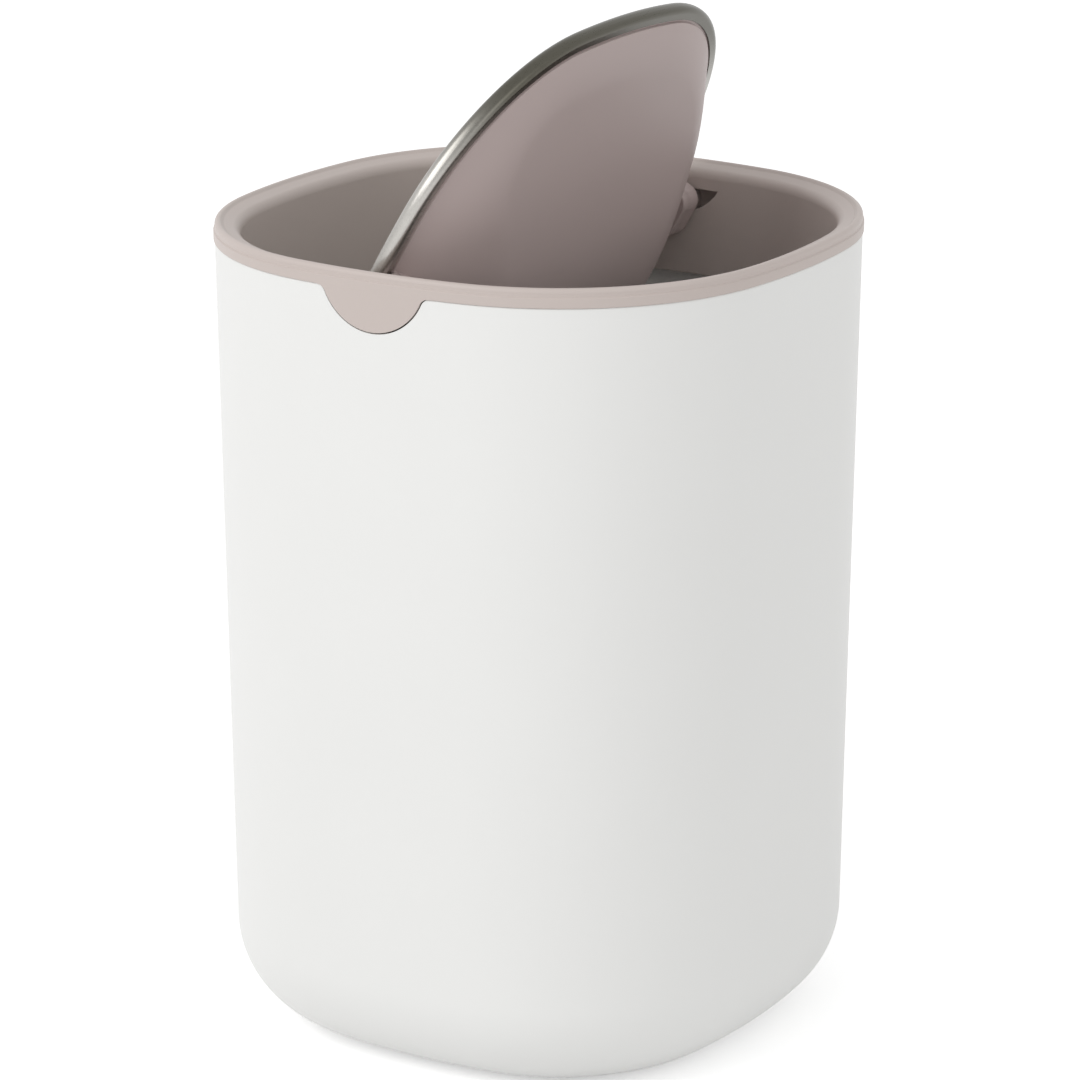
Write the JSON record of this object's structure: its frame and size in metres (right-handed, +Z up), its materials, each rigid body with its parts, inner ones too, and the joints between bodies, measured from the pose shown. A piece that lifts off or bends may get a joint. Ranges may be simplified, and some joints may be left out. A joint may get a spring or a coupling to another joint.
{
  "type": "swing-lid waste bin",
  "caption": "Small tapered square countertop bin with bowed sides, a lift-off rim ring with half-round tabs, and a steel-faced lid that swings on side trunnions.",
  "frame": {"origin": "centre of the base, on the surface that the bin stands on", "axes": "+Z up; +Y along the lid's axis, through the middle of the two tabbed sides; +X towards the side on which the lid stands up"},
  "size_m": [0.146, 0.146, 0.2503],
  "materials": {
    "shell_plastic": "fine satin moulded white plastic",
    "ring_plastic": "satin moulded taupe plastic",
    "lid_steel": "brushed stainless steel",
    "pan_plastic": "satin moulded taupe plastic"
  },
  "bodies": {
    "bin": {"bin_shell": "shell_plastic"},
    "ring": {"rim_ring": "ring_plastic"},
    "lid": {"lid_cap": "lid_steel", "lid_pan": "pan_plastic"}
  },
  "joints": [
    {"name": "ring_lift", "type": "slide", "parent": "bin", "child": "ring", "axis": [0, 0, 1], "range_m": [0, 0.07]},
    {"name": "lid_swing", "type": "hinge", "parent": "ring", "child": "lid", "pos_m": [0, 0, 0.19], "axis": [0, 1, 0], "range_deg": [-29.5, 150.5]}
  ]
}
